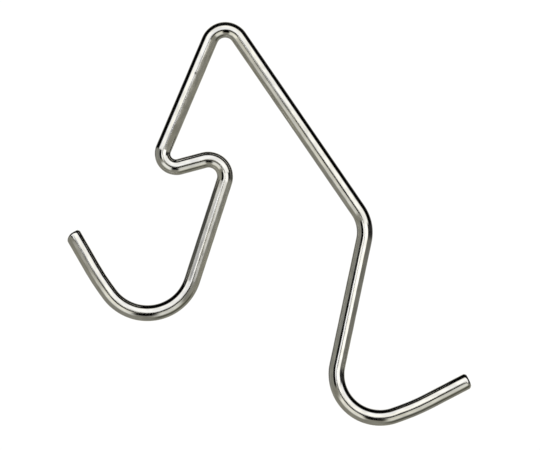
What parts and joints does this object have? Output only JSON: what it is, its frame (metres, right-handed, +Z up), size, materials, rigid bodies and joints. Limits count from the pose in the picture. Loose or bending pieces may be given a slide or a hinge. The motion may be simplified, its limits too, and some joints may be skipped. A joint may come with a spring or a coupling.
{
  "type": "double hook",
  "caption": "Bent wire double hook: a V-shaped clip with a snap-in nib drops over a rail, and each end of the wire rises again as an open hook.",
  "frame": {"origin": "underside of the crest bend, in the plane of the wire, where the hook hangs", "axes": "+Z up as the hook hangs on its rail, +X towards the longer leg and the lower hook, Y square to the plane of the wire, along the rail"},
  "size_m": [0.121, 0.005, 0.1204],
  "materials": {
    "wire": "bright nickel plate over drawn steel wire, with faint lengthwise drawing lines"
  },
  "bodies": {
    "root": {"hook": "wire"}
  },
  "joints": []
}
